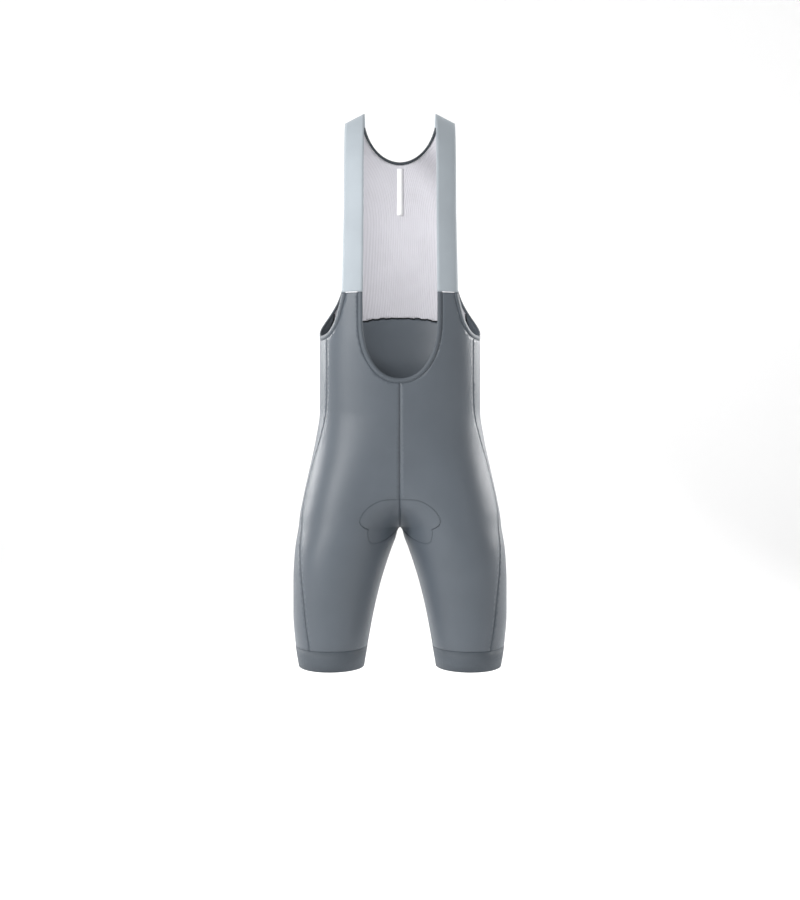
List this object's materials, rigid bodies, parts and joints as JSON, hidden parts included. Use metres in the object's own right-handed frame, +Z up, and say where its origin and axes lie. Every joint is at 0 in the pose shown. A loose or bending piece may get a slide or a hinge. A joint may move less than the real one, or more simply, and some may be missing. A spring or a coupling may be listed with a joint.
{
  "type": "cycling bib shorts",
  "caption": "Filled-out bib shorts for road cycling: dark stretch body with hollow legs and elastic grippers, scooped front, white mesh upper back, pale elastic straps, and a seat pad inside",
  "frame": {"origin": "the point midway between the shoulders, level with the underside of the straps where they rest on the wearer", "axes": "+Z up along the garment, -Y out of its front, +X to the wearer's left"},
  "size_m": [0.3616, 0.225, 0.9418],
  "materials": {
    "body_fabric": "smooth warp-knit stretch fabric with a soft satin sheen, blue-grey",
    "mesh_fabric": "matt white knitted mesh with fine closed cells",
    "strap_elastic": "flat raw-cut elastic, pale grey, slight satin",
    "binding_fabric": "folded stretch binding, blue-grey",
    "neck_tape": "narrow dark elastic tape",
    "gripper_elastic": "matt knitted elastic band",
    "pad_foam": "soft brushed knit over foam, near black",
    "label_tape": "bare white woven tape"
  },
  "bodies": {
    "root": {"front_left": "body_fabric", "front_right": "body_fabric", "back": "body_fabric", "mesh_back": "mesh_fabric", "strap_left": "strap_elastic", "strap_right": "strap_elastic", "scoop_binding": "binding_fabric", "armhole_binding_left": "binding_fabric", "armhole_binding_right": "binding_fabric", "neck_binding": "neck_tape", "gripper_left": "gripper_elastic", "gripper_right": "gripper_elastic", "pad": "pad_foam", "label": "label_tape"}
  },
  "joints": []
}
